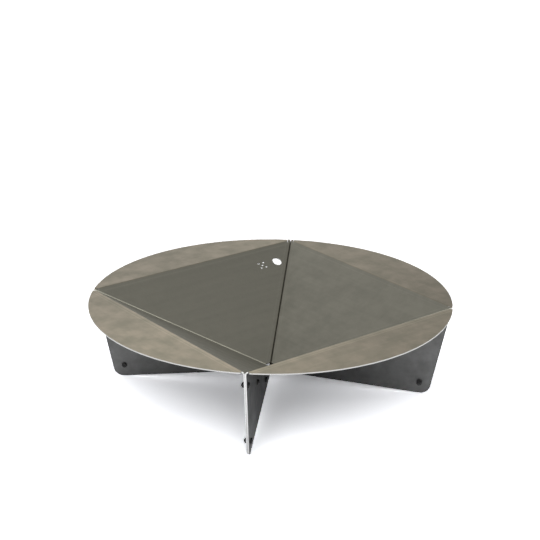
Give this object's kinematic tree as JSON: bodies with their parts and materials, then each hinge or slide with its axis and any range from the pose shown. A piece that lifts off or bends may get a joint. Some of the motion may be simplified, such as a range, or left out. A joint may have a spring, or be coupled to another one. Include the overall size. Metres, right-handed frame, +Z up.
{
  "type": "wood burning fire pit",
  "caption": "Low round fire pit of folded steel panels bolted back to back: flat segmented rim, inverted pyramid bowl and upright plate legs.",
  "frame": {"origin": "on the floor, straight below the centre of the bowl", "axes": "+Z up; the four plate legs lie on the X and Y axes; -Y is the leg nearest the camera in the picture and +X the leg at its right"},
  "size_m": [0.8994, 0.8994, 0.2347],
  "materials": {
    "raw_steel": "bare hot rolled steel sheet, lightly oiled, semi gloss, faint mottling and fold marks",
    "black_fastener": "black oxide steel, semi gloss"
  },
  "bodies": {
    "root": {"panel_front_left": "raw_steel", "panel_back_left": "raw_steel", "panel_back_right": "raw_steel", "panel_front_right": "raw_steel", "leg_front_bolt_1": "black_fastener", "leg_front_bolt_2": "black_fastener", "leg_front_bolt_3": "black_fastener", "leg_front_bolt_4": "black_fastener", "leg_front_nut_1": "black_fastener", "leg_front_nut_2": "black_fastener", "leg_front_nut_3": "black_fastener", "leg_front_nut_4": "black_fastener", "leg_right_bolt_1": "black_fastener", "leg_right_bolt_2": "black_fastener", "leg_right_bolt_3": "black_fastener", "leg_right_bolt_4": "black_fastener", "leg_right_nut_1": "black_fastener", "leg_right_nut_2": "black_fastener", "leg_right_nut_3": "black_fastener", "leg_right_nut_4": "black_fastener", "leg_back_bolt_1": "black_fastener", "leg_back_bolt_2": "black_fastener", "leg_back_bolt_3": "black_fastener", "leg_back_bolt_4": "black_fastener", "leg_back_nut_1": "black_fastener", "leg_back_nut_2": "black_fastener", "leg_back_nut_3": "black_fastener", "leg_back_nut_4": "black_fastener", "leg_left_bolt_1": "black_fastener", "leg_left_bolt_2": "black_fastener", "leg_left_bolt_3": "black_fastener", "leg_left_bolt_4": "black_fastener", "leg_left_nut_1": "black_fastener", "leg_left_nut_2": "black_fastener", "leg_left_nut_3": "black_fastener", "leg_left_nut_4": "black_fastener"}
  },
  "joints": []
}
